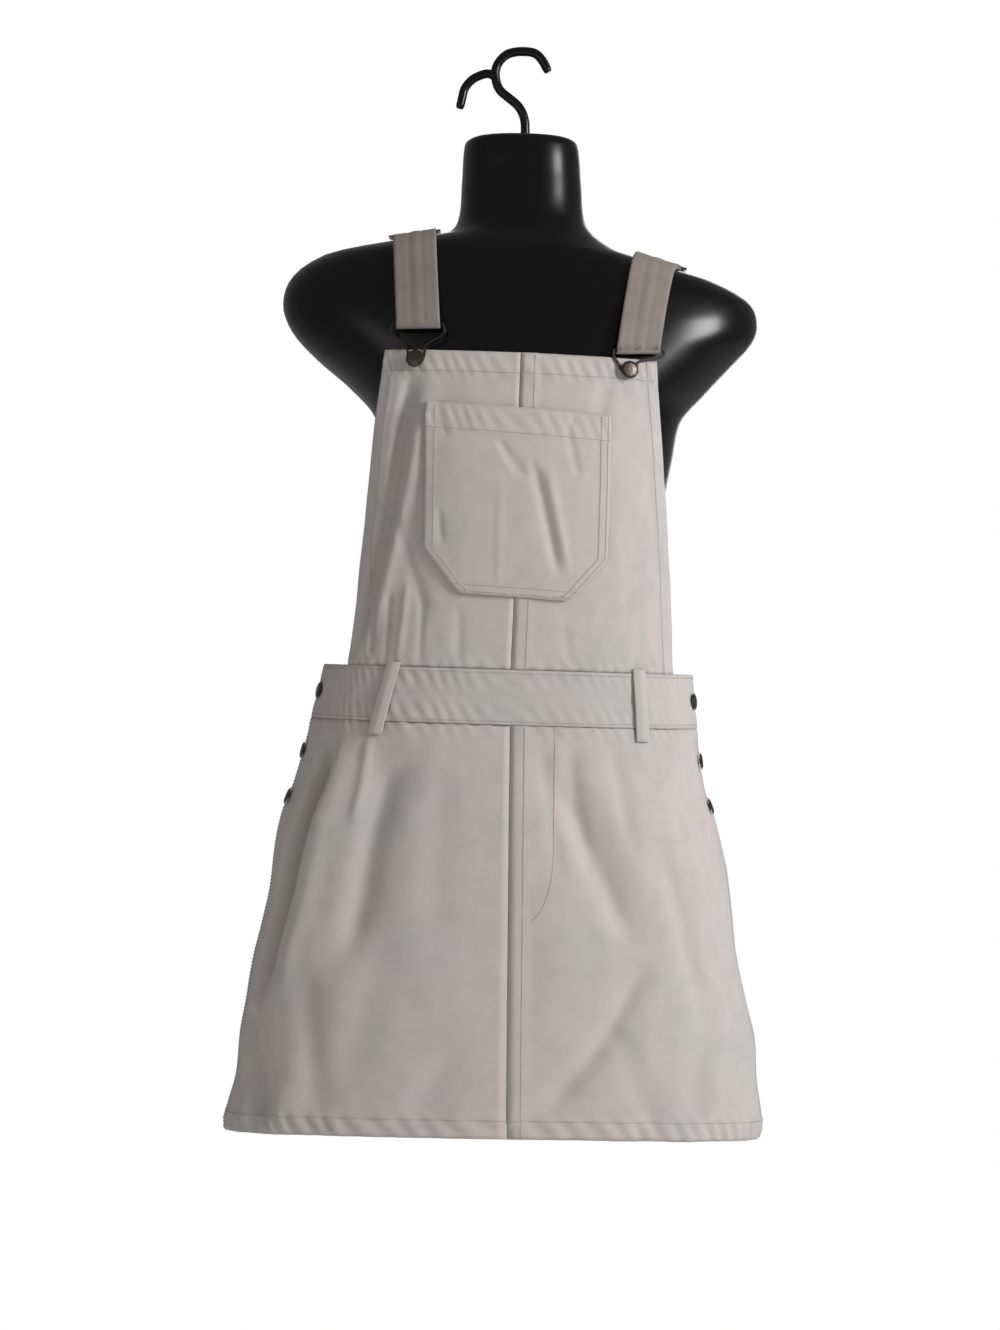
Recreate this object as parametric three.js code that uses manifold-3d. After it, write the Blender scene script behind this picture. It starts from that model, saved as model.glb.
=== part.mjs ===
// A short overall dress of pale denim, hung on a black limbless torso form with a double hook.
// Millimetres, +Z up, the front towards -Y and the viewer's right towards +X. The origin is the inside
// top of the form's hook, where a rail or a peg holds it.
import * as THREE from "three";
import Module from "manifold-3d";

// ---- Driving sizes ----
const SEAM_GAP = 0.3; // between pieces that are sewn edge to edge
const LAY_GAP = 0.4; // between a piece and what it lies on
const POCKET_GAP = 0.9; // a little more, because the bib is creased under the pocket's edge
const CLOTH = 1.6; // wall of a denim panel, with its seam allowances
const BAND = 3.0; // the waistband's two layers and their turned edges
const BAND_OUT = 1.2; // how far the waistband stands out from the panels
const STRAP_CLOTH = 1.8;
const STRAP_WIDTH = 38;
const SQUARENESS = 2.45; // power of the rings: 2 is an ellipse, more is squarer

const BIB_TOP = -285;
const BAND_TOP = -559;
const BAND_BOTTOM = -607;
const HEM = -966;
const SIDE_TURN = 90; // side seams, in degrees from the centre front
const SIDE_SPLIT = 0.12; // half of a side seam's gap, in degrees
const SLIT_BOTTOM = -708; // foot of the buttoned side opening

const HOOK_RADIUS = 4.2;
const SOCKET_DEPTH = 20;
const NECK_TOP = -77.5;

const HEIGHT_STEP = 1; // for slopes measured on a surface
const TURN_STEP = 0.5;

const COLOURS = {
  denim: { color: 0xbeb8b2, roughness: 0.92, metalness: 0 },
  strap: { color: 0x857c72, roughness: 0.9, metalness: 0 },
  metal: { color: 0x4a4743, roughness: 0.35, metalness: 1 },
  form: { color: 0x060607, roughness: 0.2, metalness: 0 },
};

function table(names, rows) {
  return rows.map((row) => Object.fromEntries(names.map((name, i) => [name, row[i]])));
}

// ---- Tables: a row for each section ----
// Rings of the dress. at: height of the ring at the centre front. left, right: its widest x on each
// side. middle: x of the centre seams. front, back: depths. drop: fall to the right, per mm.
// rear: how much lower the centre back hangs than the centre front.
const DRESS = table(
  ["at", "left", "right", "middle", "front", "back", "drop", "rear"],
  [
    [-280, -180, 171, -4.5, 106, 95, 0.042, 0],
    [-348, -173, 159, -7, 117, 95, 0.04, 0],
    [-400, -168, 153, -8, 118, 94, 0.038, 0],
    [-450, -168, 150, -9.3, 112, 92, 0.036, 0],
    [-507, -173, 151, -11, 103, 90, 0.034, 0],
    [-559, -181, 151, -13.3, 97, 89, 0.03, 0],
    [-607, -193, 155, -14, 97, 91, 0.03, 0],
    [-661, -208, 162, -14.6, 102, 97, 0.026, 4],
    [-691, -220, 172, -15, 104, 101, 0.024, 6.5],
    [-724, -227, 180, -15.3, 105, 104, 0.022, 9],
    [-758, -232, 186, -15.6, 106, 106, 0.02, 12],
    [-810, -245, 192, -16.2, 107, 108, 0.018, 16],
    [-851, -253, 201, -16.6, 106, 108, 0.017, 19],
    [-881, -258, 208, -16.9, 105, 107, 0.017, 21],
    [-917, -261, 210, -17.2, 104, 106, 0.017, 24],
    [-950, -270, 214, -17.5, 103, 105, 0.017, 27],
    [-966, -271, 211, -17.6, 102, 104, 0.017, 28],
  ],
);

// Rings of the torso form, with the same columns.
const FORM = table(
  ["at", "left", "right", "middle", "front", "back", "drop", "rear"],
  [
    [-78, -44, 38, -3, 34, 34, 0.02, 0],
    [-80, -51, 45, -3, 42, 42, 0.02, 0],
    [-84, -55, 49, -3, 46, 46, 0.02, 0],
    [-118, -57.5, 52, -3, 49, 49, 0.03, 0],
    [-153, -61, 56, -3, 54, 53, 0.03, 0],
    [-168, -72, 69, -3, 60, 58, 0.045, 0],
    [-177, -98, 92, -3, 66, 62, 0.08, 0],
    [-183, -125, 118, -4, 70, 65, 0.08, 0],
    [-190, -155, 148, -4, 73, 68, 0.08, 0],
    [-198, -184, 178, -5, 76, 70, 0.075, 0],
    [-215, -211, 204, -5, 80, 74, 0.06, 0],
    [-237, -220, 211, -5, 86, 78, 0.045, 0],
    [-258, -212, 206, -5, 91, 80, 0.03, 0],
    [-280, -190, 188, -5, 96, 82, 0.02, 0],
    [-305, -160, 165, -5, 101, 84, 0.018, 0],
    [-331, -137, 143, -5, 105, 84, 0.016, 0],
    [-370, -131, 134, -5, 108, 84, 0.015, 0],
    [-403, -129, 127, -6, 107, 83, 0.015, 0],
    [-460, -128, 118, -8, 97, 77, 0.015, 0],
    [-520, -130, 110, -10, 84, 70, 0.015, 0],
    [-575, -136, 108, -13, 78, 66, 0.015, 0],
    [-640, -155, 122, -15, 82, 78, 0.015, 0],
    [-700, -170, 136, -16, 88, 88, 0.015, 0],
    [-750, -176, 141, -17, 90, 94, 0.015, 0],
    [-788, -174, 139, -17, 86, 91, 0.015, 0],
    [-797, -166, 131, -17, 78, 83, 0.015, 0],
    [-800, -150, 115, -17, 66, 71, 0.015, 0],
  ],
);

// Half-width of the bib, from the centre seam to its edge.
const BIB = table(
  ["at", "half"],
  [
    [-285, 118],
    [-348, 125],
    [-395, 129],
    [-446, 134],
    [-507, 139],
    [-559, 144],
  ],
);

// Half-width of the bib pocket: straight sides, then corners cut off below. skew: its extra fall to
// the right, per mm, because it is sewn on slightly askew.
const POCKET = table(
  ["at", "half"],
  [
    [-334, 79],
    [-458, 79],
    [-490, 53],
    [-496, 45],
  ],
);
const POCKET_SKEW = 0.04;

// Largest folds. top, bottom: heights of the two ends. start, end: their places, in degrees from the
// centre front. width: half-width in mm. lift: outwards, or inwards where it is negative.
const FOLDS = table(
  ["top", "start", "bottom", "end", "width", "lift"],
  [
    [-290, -26, -556, -54, 9, -6],
    [-300, -21, -556, -47, 9, 3],
    [-610, -54, -866, -70, 15, -13],
    [-612, -46, -860, -56, 16, 5],
    [-612, -27, -830, -33, 22, -6],
    [-850, -75, -962, -54, 16, -9],
    [-630, 8, -812, 31, 20, -5],
    [-800, 33, -955, 2, 15, -4],
    [-612, 62, -900, 70, 20, -5],
    [-612, 112, -880, 128, 18, -7],
    [-615, 150, -950, 158, 22, -6],
    [-612, -118, -900, -130, 18, -8],
    [-620, -152, -940, -146, 24, -6],
  ],
);
const ARC = 3.2; // mm round the dress for each degree
const FOLD_FADE = 0.22; // share of a fold's length in which it rises from nothing

// Routes of the straps, from the back waistband over the shoulder to the front. x: centre of the
// strap. level: height of the centre that the angle turns about. angle: 90 is the back, 0 the top and
// -90 the front. off: distance from the form.
const STRAP_ROUTES = {
  left: table(
    ["at", "x", "level", "angle", "off"],
    [
      [0, 37, -558.4, 90, 20],
      [1, 18, -515, 90, 14],
      [2, -2, -460, 90, 8],
      [3, -34, -385, 90, 3],
      [4, -66, -310, 90, 1],
      [5, -86, -255, 86, 1.3],
      [6, -95, -255, 55, 1.2],
      [7, -99, -255, 25, 1.2],
      [8, -99.5, -255, 0, 1.2],
      [9, -99, -255, -25, 1.2],
      [10, -97, -255, -55, 1.8],
      [11, -94, -255, -92, 5],
    ],
  ),
  right: table(
    ["at", "x", "level", "angle", "off"],
    [
      [0, -63, -556.4, 90, 21.5],
      [1, -38, -515, 90, 18],
      [2, -6, -460, 90, 12],
      [3, 38, -385, 90, 6.5],
      [4, 82, -310, 90, 1.5],
      [5, 110, -262, 86, 1.3],
      [6, 121, -262, 55, 1.2],
      [7, 124, -262, 25, 1.2],
      [8, 124, -262, 0, 1.2],
      [9, 120, -262, -25, 1.2],
      [10, 110, -262, -55, 1.8],
      [11, 97.5, -262, -101, 5],
    ],
  ),
};
const ADJUSTER_AT = 8.4; // station of the adjuster on the strap's route
const STRAP_END_AT = 11;
const SHOULDER_AT = 5; // from here on the route bends over the shoulder

// Hook, as two rods in one plane: x and z of the points on each middle line.
const HOOK_MAIN = table(
  ["x", "z"],
  [
    [0, -95],
    [0, -76],
    [0.5, -59],
    [-4.6, -46.5],
    [-14.6, -38.3],
    [-24, -31],
    [-27.3, -19.5],
    [-26.4, -9],
    [-19, 0.4],
    [-10.5, 3.6],
    [0, 4.2],
    [10, 2.7],
    [16.4, -4.6],
    [21.5, -15],
  ],
);
const HOOK_BRANCH = table(
  ["x", "z"],
  [
    [-25.5, -20],
    [-33, -15.5],
    [-41, -17.6],
    [-49.2, -21.9],
    [-55.6, -30],
    [-57.4, -39.5],
    [-59.6, -48],
  ],
);

// A button's turned outline. rise: height over the cloth, in mm. radius: share of the button's radius.
const BUTTON = table(
  ["rise", "radius"],
  [
    [0, 0.42],
    [1, 0.42],
    [1, 1],
    [1.9, 1],
    [2.7, 0.72],
    [2.9, 0.3],
  ],
);
const BIB_BUTTON_RADIUS = 8;
const SIDE_BUTTON_RADIUS = 7.5;
const BIB_BUTTON_NECK = 4.6; // room under the bib button's head for the buckle's wire
const BUTTON_SIDES = 10;

// ---- Surfaces ----
// A table's column at any height or station, on a smooth curve through its rows.
function column(rows, name, at) {
  const last = rows.length - 1;
  const way = Math.sign(rows[last].at - rows[0].at);
  if ((at - rows[0].at) * way <= 0) return rows[0][name];
  if ((at - rows[last].at) * way >= 0) return rows[last][name];
  const i = rows.findIndex((row) => (row.at - at) * way > 0) - 1;
  const slope = (a, b) => (rows[b][name] - rows[a][name]) / (rows[b].at - rows[a].at);
  const step = rows[i + 1].at - rows[i].at;
  const u = (at - rows[i].at) / step;
  const leave = slope(Math.max(i - 1, 0), i + 1) * step;
  const arrive = slope(i, Math.min(i + 2, last)) * step;
  const change = rows[i + 1][name] - rows[i][name];
  const bend = u * (1 - u) * ((leave - change) * (1 - u) - (arrive - change) * u);
  return rows[i][name] + change * u + bend;
}

// Straight lines between the rows, for outlines with corners.
function edge(rows, name, at) {
  const i = Math.max(1, rows.findIndex((row) => row.at <= at + 1e-6));
  const u = (at - rows[i - 1].at) / (rows[i].at - rows[i - 1].at);
  return THREE.MathUtils.lerp(rows[i - 1][name], rows[i][name], u);
}

function ringPoint(rows, at, turn) {
  const angle = THREE.MathUtils.degToRad(turn);
  const across = Math.sin(angle);
  const along = Math.cos(angle);
  const middle = column(rows, "middle", at);
  const side = across < 0 ? middle - column(rows, "left", at) : column(rows, "right", at) - middle;
  const depth = along < 0 ? column(rows, "back", at) : -column(rows, "front", at);
  const power = 2 / SQUARENESS;
  const x = side * Math.sign(across) * Math.abs(across) ** power;
  const fall = column(rows, "drop", at) * x + (column(rows, "rear", at) * (1 - along)) / 2;
  return new THREE.Vector3(middle + x, depth * Math.abs(along) ** power, at - fall);
}

function ringNormal(rows, at, turn) {
  const round = ringPoint(rows, at, turn + TURN_STEP).sub(ringPoint(rows, at, turn - TURN_STEP));
  const up = ringPoint(rows, at + HEIGHT_STEP, turn).sub(ringPoint(rows, at - HEIGHT_STEP, turn));
  return round.cross(up).normalize();
}

// The turn, in degrees, at which the dress's front has a given distance from its centre seam.
function turnAt(at, offset) {
  const middle = column(DRESS, "middle", at);
  const side = offset < 0 ? middle - column(DRESS, "left", at) : column(DRESS, "right", at) - middle;
  const share = Math.min(Math.abs(offset) / side, 1) ** (SQUARENESS / 2);
  return Math.sign(offset) * THREE.MathUtils.radToDeg(Math.asin(share));
}

function foldLift(at, turn) {
  let lift = 0;
  for (const fold of FOLDS) {
    const u = (fold.top - at) / (fold.top - fold.bottom);
    if (u <= 0 || u >= 1) continue;
    const fade = THREE.MathUtils.smoothstep(Math.min(u, 1 - u), 0, FOLD_FADE);
    const away = ((turn - THREE.MathUtils.lerp(fold.start, fold.end, u)) * ARC) / fold.width;
    lift += fold.lift * fade * Math.exp(-away * away);
  }
  return lift;
}

function dressPoint(at, turn, out = 0) {
  const lift = out + foldLift(at, turn);
  return ringPoint(DRESS, at, turn).addScaledVector(ringNormal(DRESS, at, turn), lift);
}

function insideForm(x, y, z) {
  let at = z;
  for (let pass = 0; pass < 3; pass++) {
    at = z + column(FORM, "drop", at) * (x - column(FORM, "middle", at));
  }
  if (at > FORM[0].at || at < FORM.at(-1).at) return false;
  const offset = x - column(FORM, "middle", at);
  const half =
    offset < 0
      ? column(FORM, "middle", at) - column(FORM, "left", at)
      : column(FORM, "right", at) - column(FORM, "middle", at);
  const depth = y < 0 ? column(FORM, "front", at) : column(FORM, "back", at);
  return Math.abs(offset / half) ** SQUARENESS + Math.abs(y / depth) ** SQUARENESS < 1;
}

// A point of a strap: its station, its place across the strap and its distance off the form.
function strapPoint(route, at, across, out = 0) {
  const x = column(route, "x", at) + across;
  const level = column(route, "level", at);
  const angle = THREE.MathUtils.degToRad(column(route, "angle", at));
  let near = 5;
  let far = 200;
  for (let pass = 0; pass < 24; pass++) {
    const middle = (near + far) / 2;
    if (insideForm(x, middle * Math.sin(angle), level + middle * Math.cos(angle))) near = middle;
    else far = middle;
  }
  const reach = near + column(route, "off", at) + out;
  return new THREE.Vector3(x, reach * Math.sin(angle), level + reach * Math.cos(angle));
}

// Directions on a strap: along it towards the front, across it and out from the form.
function strapFrame(route, at, out) {
  const point = strapPoint(route, at, 0, out);
  const along = strapPoint(route, at + 0.05, 0, out).sub(strapPoint(route, at - 0.05, 0, out));
  const across = strapPoint(route, at, 5, out).sub(strapPoint(route, at, -5, out)).normalize();
  const normal = along.normalize().clone().cross(across).normalize().negate();
  return { point, along, across, normal: normal.multiplyScalar(Math.sign(normal.dot(outOf(point)))) };
}

function outOf(point) {
  return new THREE.Vector3(0, point.y, point.z + 255);
}

// ---- Solids ----
function geometryOf(points, faces) {
  const geometry = new THREE.BufferGeometry();
  geometry.setAttribute("position", new THREE.Float32BufferAttribute(points.flatMap((p) => p.toArray()), 3));
  geometry.setIndex(faces.flat());
  return geometry;
}

// A closed wall between two grids of points, with rows down and columns to the viewer's right.
function wall(outer, inner) {
  const rows = outer.length - 1;
  const columns = outer[0].length - 1;
  const points = [...outer.flat(), ...inner.flat()];
  const o = (i, j) => i * (columns + 1) + j;
  const n = (i, j) => o(i, j) + (rows + 1) * (columns + 1);
  const faces = [];
  const quad = (a, b, c, d) => faces.push([a, b, c], [a, c, d]);
  for (let i = 0; i < rows; i++) {
    for (let j = 0; j < columns; j++) {
      quad(o(i, j), o(i + 1, j), o(i + 1, j + 1), o(i, j + 1));
      quad(n(i, j), n(i, j + 1), n(i + 1, j + 1), n(i + 1, j));
    }
    quad(o(i, 0), n(i, 0), n(i + 1, 0), o(i + 1, 0));
    quad(o(i, columns), o(i + 1, columns), n(i + 1, columns), n(i, columns));
  }
  for (let j = 0; j < columns; j++) {
    quad(o(0, j), o(0, j + 1), n(0, j + 1), n(0, j));
    quad(o(rows, j), n(rows, j), n(rows, j + 1), o(rows, j + 1));
  }
  return geometryOf(points, faces);
}

// A panel of the dress. stops: heights that its outline needs, from the top down. from, to: the turns
// of its two sides at a height. out: where its outer face lies. skew: extra fall to the right, per mm.
function panel({ stops, step, columns, from, to, out = 0, thickness = CLOTH, skew = 0 }) {
  const heights = [stops[0]];
  for (let k = 1; k < stops.length; k++) {
    const count = Math.max(1, Math.round((stops[k - 1] - stops[k]) / step));
    for (let i = 1; i <= count; i++) {
      heights.push(THREE.MathUtils.lerp(stops[k - 1], stops[k], i / count));
    }
  }
  const grid = (depth) =>
    heights.map((height) =>
      Array.from({ length: columns + 1 }, (_, j) => {
        const turn = THREE.MathUtils.lerp(from(height), to(height), j / columns);
        const shift = skew * ringPoint(DRESS, height, turn).x;
        const rise = typeof out === "function" ? out(height) : out;
        return dressPoint(height - shift, turn, rise - depth);
      }),
    );
  return wall(grid(0), grid(thickness));
}

// A closed body through rings, each given in the same turning order, with fans at its ends.
function loft(rings) {
  const sides = rings[0].length;
  const points = rings.flat();
  const faces = [];
  for (let i = 0; i + 1 < rings.length; i++) {
    for (let j = 0; j < sides; j++) {
      const next = (j + 1) % sides;
      const a = i * sides + j;
      const b = i * sides + next;
      faces.push([a, a + sides, b + sides], [a, b + sides, b]);
    }
  }
  const centre = (ring) => ring.reduce((sum, p) => sum.add(p), new THREE.Vector3()).divideScalar(sides);
  const top = points.push(centre(rings[0])) - 1;
  const foot = points.push(centre(rings.at(-1))) - 1;
  const start = (rings.length - 1) * sides;
  for (let j = 0; j < sides; j++) {
    const next = (j + 1) % sides;
    faces.push([top, j, next], [foot, start + next, start + j]);
  }
  return geometryOf(points, faces);
}

// A circle round a direction, turning so that loft() sees it from its first ring.
function circle(centre, direction, upright, radius, sides) {
  const first = upright.clone().normalize();
  const second = first.clone().cross(direction).normalize();
  return Array.from({ length: sides }, (_, j) => {
    const angle = (2 * Math.PI * j) / sides;
    const ray = first.clone().multiplyScalar(Math.cos(angle)).addScaledVector(second, Math.sin(angle));
    return centre.clone().addScaledVector(ray, radius);
  });
}

// A round rod with domed ends along points that lie in one plane.
function rod(points, upright, radius, steps, sides) {
  const curve = new THREE.CatmullRomCurve3(points, false, "centripetal");
  const rings = [];
  for (let i = 0; i <= steps; i++) {
    rings.push(circle(curve.getPointAt(i / steps), curve.getTangentAt(i / steps), upright, radius, sides));
  }
  for (const [lean, share] of [[0.6, 0.8], [0.95, 0.35]]) {
    const head = curve.getTangentAt(0);
    const tail = curve.getTangentAt(1);
    const before = points[0].clone().addScaledVector(head, -lean * radius);
    const after = points.at(-1).clone().addScaledVector(tail, lean * radius);
    rings.unshift(circle(before, head, upright, radius * share, sides));
    rings.push(circle(after, tail, upright, radius * share, sides));
  }
  return loft(rings);
}

// A closed wire through points that lie in one plane.
function wireLoop(points, upright, radius, steps, sides) {
  const curve = new THREE.CatmullRomCurve3(points, true, "centripetal");
  const vertices = [];
  const faces = [];
  for (let i = 0; i < steps; i++) {
    const tangent = curve.getTangentAt(i / steps);
    vertices.push(...circle(curve.getPointAt(i / steps), tangent, upright, radius, sides));
  }
  for (let i = 0; i < steps; i++) {
    for (let j = 0; j < sides; j++) {
      const a = i * sides + j;
      const b = i * sides + ((j + 1) % sides);
      const c = ((i + 1) % steps) * sides + j;
      const d = ((i + 1) % steps) * sides + ((j + 1) % sides);
      faces.push([a, c, d], [a, d, b]);
    }
  }
  return geometryOf(vertices, faces);
}

const wasm = await Module();
wasm.setup();

function solidOf(geometry) {
  const vertProperties = new Float32Array(geometry.getAttribute("position").array);
  const triVerts = new Uint32Array(geometry.index.array);
  return new wasm.Manifold(new wasm.Mesh({ numProp: 3, vertProperties, triVerts }));
}

function geometryFrom(solid) {
  const mesh = solid.getMesh();
  const geometry = new THREE.BufferGeometry();
  geometry.setAttribute("position", new THREE.Float32BufferAttribute(mesh.vertProperties, 3));
  geometry.setIndex(Array.from(mesh.triVerts));
  return geometry;
}

// ---- Pieces ----
const dress = new THREE.Group();
const form = new THREE.Group();
const hardware = new THREE.Group();

function add(group, name, look, geometry) {
  const mesh = new THREE.Mesh(geometry, new THREE.MeshStandardMaterial(COLOURS[look]));
  mesh.name = name;
  group.add(mesh);
}

const FORM_SIDES = 26;
const BACKWARD = new THREE.Vector3(0, 1, 0);
const DOWN = new THREE.Vector3(0, 0, -1);

function torso() {
  const levels = FORM.map((row) => row.at);
  const ring = (at) =>
    Array.from({ length: FORM_SIDES }, (_, j) => ringPoint(FORM, at, (360 * j) / FORM_SIDES));
  const body = solidOf(loft(levels.map(ring)));
  const radius = HOOK_RADIUS + SEAM_GAP;
  const mouth = new THREE.Vector3(0, 0, NECK_TOP + SOCKET_DEPTH);
  const bottom = new THREE.Vector3(0, 0, NECK_TOP - SOCKET_DEPTH - HOOK_RADIUS - SEAM_GAP);
  const bore = [mouth, bottom].map((p) => circle(p, DOWN, BACKWARD, radius, 12));
  return geometryFrom(body.subtract(solidOf(loft(bore))));
}

function hook() {
  const line = (rows) => rows.map((row) => new THREE.Vector3(row.x, 0, row.z));
  const main = solidOf(rod(line(HOOK_MAIN), BACKWARD, HOOK_RADIUS, 26, 8));
  const branch = solidOf(rod(line(HOOK_BRANCH), BACKWARD, HOOK_RADIUS * 0.96, 9, 8));
  return geometryFrom(main.add(branch));
}

add(form, "form_torso", "form", torso());
add(form, "form_hook", "form", hook());

// Front and back panels meet at the centre seams and at the sides.
const CENTRE_SPLIT = 0.15;
const seamTurn = (at, side) => turnAt(at, side * CENTRE_SPLIT);
const bibTurn = (at, side) => turnAt(at, side * column(BIB, "half", at));
const bibStops = [BIB_TOP, BAND_TOP + SEAM_GAP];
add(dress, "bib_left", "denim", panel({
  stops: bibStops, step: 20, columns: 9, from: (at) => bibTurn(at, -1), to: (at) => seamTurn(at, -1),
}));
add(dress, "bib_right", "denim", panel({
  stops: bibStops, step: 20, columns: 9, from: (at) => seamTurn(at, 1), to: (at) => bibTurn(at, 1),
}));

const pocketTurn = (at, side) => turnAt(at, side * edge(POCKET, "half", at));
add(dress, "bib_pocket", "denim", panel({
  stops: POCKET.map((row) => row.at),
  step: 20,
  columns: 12,
  from: (at) => pocketTurn(at, -1),
  to: (at) => pocketTurn(at, 1),
  out: POCKET_GAP + CLOTH,
  skew: POCKET_SKEW,
}));

const bandStops = [BAND_TOP, BAND_BOTTOM];
const sideFront = SIDE_TURN - SIDE_SPLIT;
const sideBack = SIDE_TURN + SIDE_SPLIT;
add(dress, "waistband_front", "denim", panel({
  stops: bandStops, step: 16, columns: 26, from: () => -sideFront, to: () => sideFront,
  out: BAND_OUT, thickness: BAND,
}));
add(dress, "waistband_back", "denim", panel({
  stops: bandStops, step: 16, columns: 26, from: () => sideBack, to: () => 360 - sideBack,
  out: BAND_OUT, thickness: BAND,
}));

const skirtStops = [BAND_BOTTOM - SEAM_GAP, HEM];
const skirtSides = {
  skirt_front_left: [() => -sideFront, (at) => seamTurn(at, -1)],
  skirt_front_right: [(at) => seamTurn(at, 1), () => sideFront],
  skirt_back_left: [(at) => -180 + Math.abs(seamTurn(at, -1)), () => -sideBack],
  skirt_back_right: [() => sideBack, (at) => 180 - Math.abs(seamTurn(at, 1))],
};
for (const [name, [from, to]] of Object.entries(skirtSides)) {
  add(dress, name, "denim", panel({ stops: skirtStops, step: 30, columns: 12, from, to }));
}

// Underlaps of the buttoned side openings, inside the front panels' edges.
const PLACKET_TURN = 8;
const PLACKET_GAP = 1.6;
for (const [name, side] of [["side_placket_left", -1], ["side_placket_right", 1]]) {
  const turns = [side * (SIDE_TURN - PLACKET_TURN), side * (SIDE_TURN - 0.2)].sort((a, b) => a - b);
  add(dress, name, "denim", panel({
    stops: [BAND_BOTTOM - 3, SLIT_BOTTOM], step: 24, columns: 3,
    from: () => turns[0], to: () => turns[1], out: -CLOTH - PLACKET_GAP,
  }));
}

// Belt loops bow out over the waistband. middle: distance from the centre seam, or turn at the back.
const LOOP_HALF = 6.5;
const LOOP_TOP = BAND_TOP + 4;
const LOOP_BOTTOM = BAND_BOTTOM - 12;
const LOOP_BOW = 2.2;
const BELT_LOOPS = table(
  ["name", "turn", "lean"],
  [
    ["belt_loop_front_left", -33, -3],
    ["belt_loop_front_right", 38.5, 0],
    ["belt_loop_back_left", -142, 0],
    ["belt_loop_back_right", 142, 0],
  ],
);
for (const loop of BELT_LOOPS) {
  const centre = (at) => loop.turn + (loop.lean * (LOOP_TOP - at)) / (LOOP_TOP - LOOP_BOTTOM);
  const rise = (at) => LOOP_BOW * Math.sin((Math.PI * (LOOP_TOP - at)) / (LOOP_TOP - LOOP_BOTTOM));
  add(dress, loop.name, "denim", panel({
    stops: [LOOP_TOP, LOOP_BOTTOM], step: 11, columns: 2,
    from: (at) => centre(at) - LOOP_HALF / ARC, to: (at) => centre(at) + LOOP_HALF / ARC,
    out: (at) => BAND_OUT + LAY_GAP + CLOTH + Math.max(0, rise(at)),
  }));
}

// Straps: the main layer from the back waistband to the buckle, a turn round the buckle's bar, and the
// layer that returns to the adjuster.
const BAR_RADIUS = 2;
const TURN_RADIUS = BAR_RADIUS + SEAM_GAP;
const RETURN_GAP = 0.5;
const ACROSS = [-1, -0.34, 0.34, 1].map((share) => (share * STRAP_WIDTH) / 2);

function strap(route) {
  const outer = [];
  const inner = [];
  const layer = (at, facing, backing) => {
    outer.push(ACROSS.map((e) => strapPoint(route, at, e, facing)));
    inner.push(ACROSS.map((e) => strapPoint(route, at, e, backing)));
  };
  for (let at = 0; at < SHOULDER_AT; at += 0.5) layer(at, STRAP_CLOTH, 0);
  for (let at = SHOULDER_AT; at < STRAP_END_AT - 0.1; at += 0.25) layer(at, STRAP_CLOTH, 0);
  layer(STRAP_END_AT, STRAP_CLOTH, 0);
  const end = strapFrame(route, STRAP_END_AT, STRAP_CLOTH + TURN_RADIUS);
  for (const degrees of [30, 60, 90, 120, 150]) {
    const angle = THREE.MathUtils.degToRad(degrees);
    const ray = end.normal.clone().multiplyScalar(-Math.cos(angle)).addScaledVector(end.along, Math.sin(angle));
    const arc = (radius) =>
      ACROSS.map((e) => {
        const base = strapPoint(route, STRAP_END_AT, e, STRAP_CLOTH + TURN_RADIUS);
        return base.addScaledVector(ray, radius);
      });
    outer.push(arc(TURN_RADIUS));
    inner.push(arc(TURN_RADIUS + STRAP_CLOTH));
  }
  const start = STRAP_CLOTH + 2 * TURN_RADIUS;
  const rest = STRAP_CLOTH + RETURN_GAP;
  for (let at = STRAP_END_AT; at >= ADJUSTER_AT + 0.45; at -= 0.4) {
    const u = THREE.MathUtils.smoothstep(STRAP_END_AT - at, 0, 0.8);
    const facing = THREE.MathUtils.lerp(start, rest, u);
    layer(at, facing, facing + STRAP_CLOTH);
  }
  return wall(outer, inner);
}

// A closed frame with a middle bar, through which the strap is threaded.
function adjuster(route) {
  const lift = STRAP_CLOTH + LAY_GAP + 0.9;
  const frame = strapFrame(route, ADJUSTER_AT, lift);
  const half = { long: STRAP_WIDTH / 2 + 4.5, wide: 9 };
  const bar = 1.8;
  const shape = new THREE.Shape();
  shape.moveTo(-half.long, -half.wide);
  shape.lineTo(half.long, -half.wide);
  shape.lineTo(half.long, half.wide);
  shape.lineTo(-half.long, half.wide);
  shape.closePath();
  for (const [low, high] of [[-half.wide + bar, -bar / 2], [bar / 2, half.wide - bar]]) {
    const slot = new THREE.Path();
    slot.moveTo(-half.long + bar, low);
    slot.lineTo(-half.long + bar, high);
    slot.lineTo(half.long - bar, high);
    slot.lineTo(half.long - bar, low);
    slot.closePath();
    shape.holes.push(slot);
  }
  const geometry = new THREE.ExtrudeGeometry(shape, { depth: bar, bevelEnabled: false });
  geometry.translate(0, 0, -bar / 2);
  const side = frame.across.clone();
  const out = side.clone().cross(frame.along).normalize();
  if (out.dot(frame.normal) < 0) out.negate();
  const along = out.clone().cross(side).normalize();
  geometry.applyMatrix4(new THREE.Matrix4().makeBasis(side, along, out).setPosition(frame.point));
  return geometry;
}

// Wire buckle: the bar in the strap's turn, shoulders, and a narrow loop that hooks round the button.
const BUCKLE_WIRE = 1.3;
const BUCKLE_HALF = STRAP_WIDTH / 2 + 3;

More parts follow.
